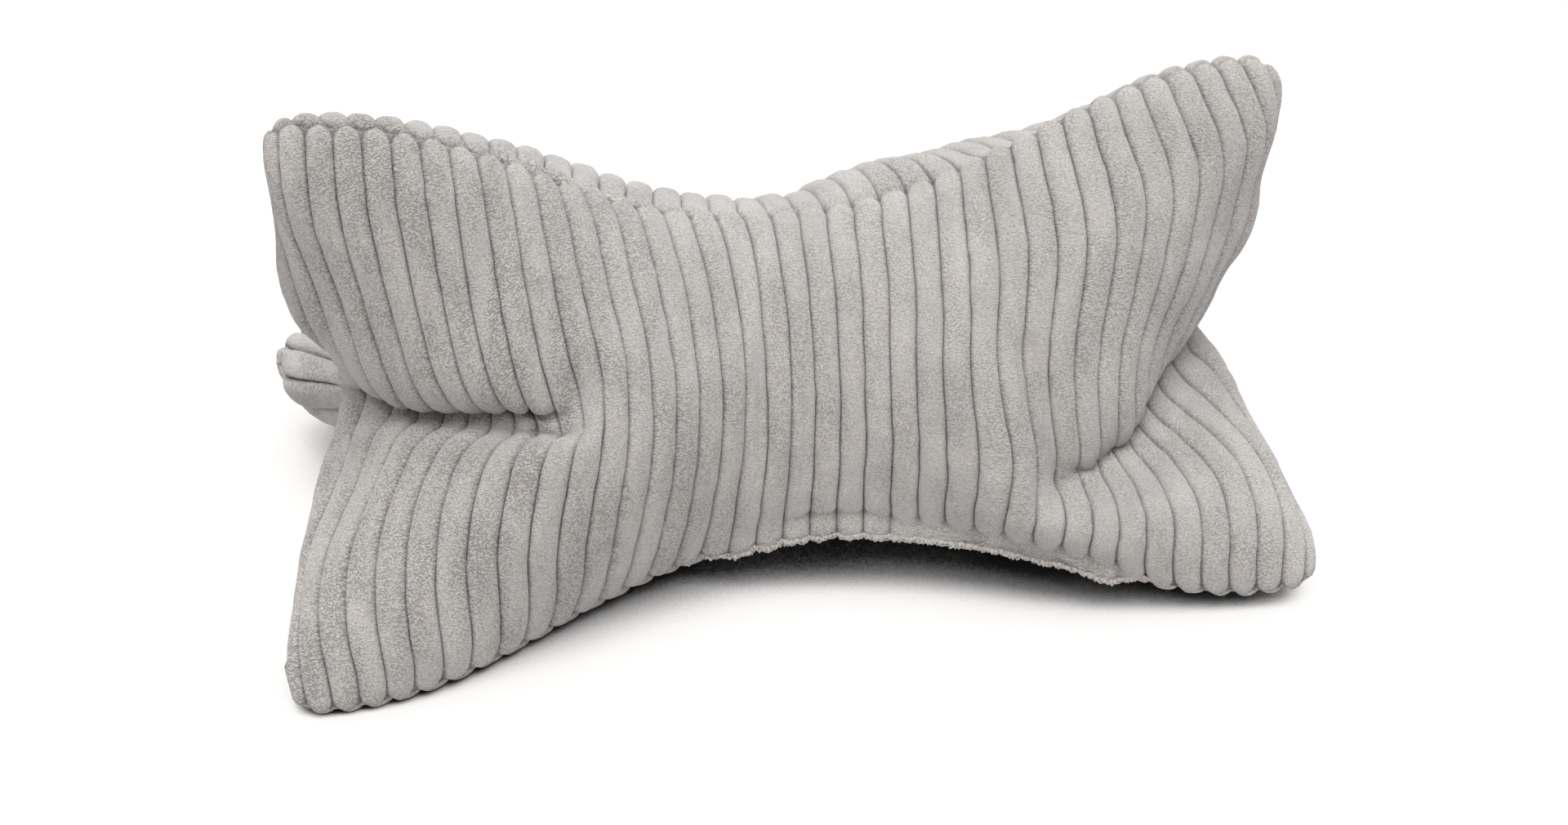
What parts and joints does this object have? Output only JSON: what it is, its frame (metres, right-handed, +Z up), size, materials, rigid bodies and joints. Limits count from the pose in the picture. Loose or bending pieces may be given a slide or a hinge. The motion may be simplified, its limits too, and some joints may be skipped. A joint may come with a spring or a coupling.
{
  "type": "neck pillow",
  "caption": "Bone-shaped neck pillow of three ribbed plush panels sewn along three seams, filled plump, with a narrow waist that takes the neck between star-shaped ends.",
  "frame": {"origin": "middle of the box's bottom face, on the surface that the pillow lies on", "axes": "+X along the pillow from end to end, +Y from the front panel to the rear panel, +Z up from the surface"},
  "size_m": [0.4662, 0.2646, 0.2379],
  "materials": {
    "corduroy": "matt wide-rib plush with a soft brushed pile"
  },
  "bodies": {
    "root": {"pillow": "corduroy"}
  },
  "joints": []
}
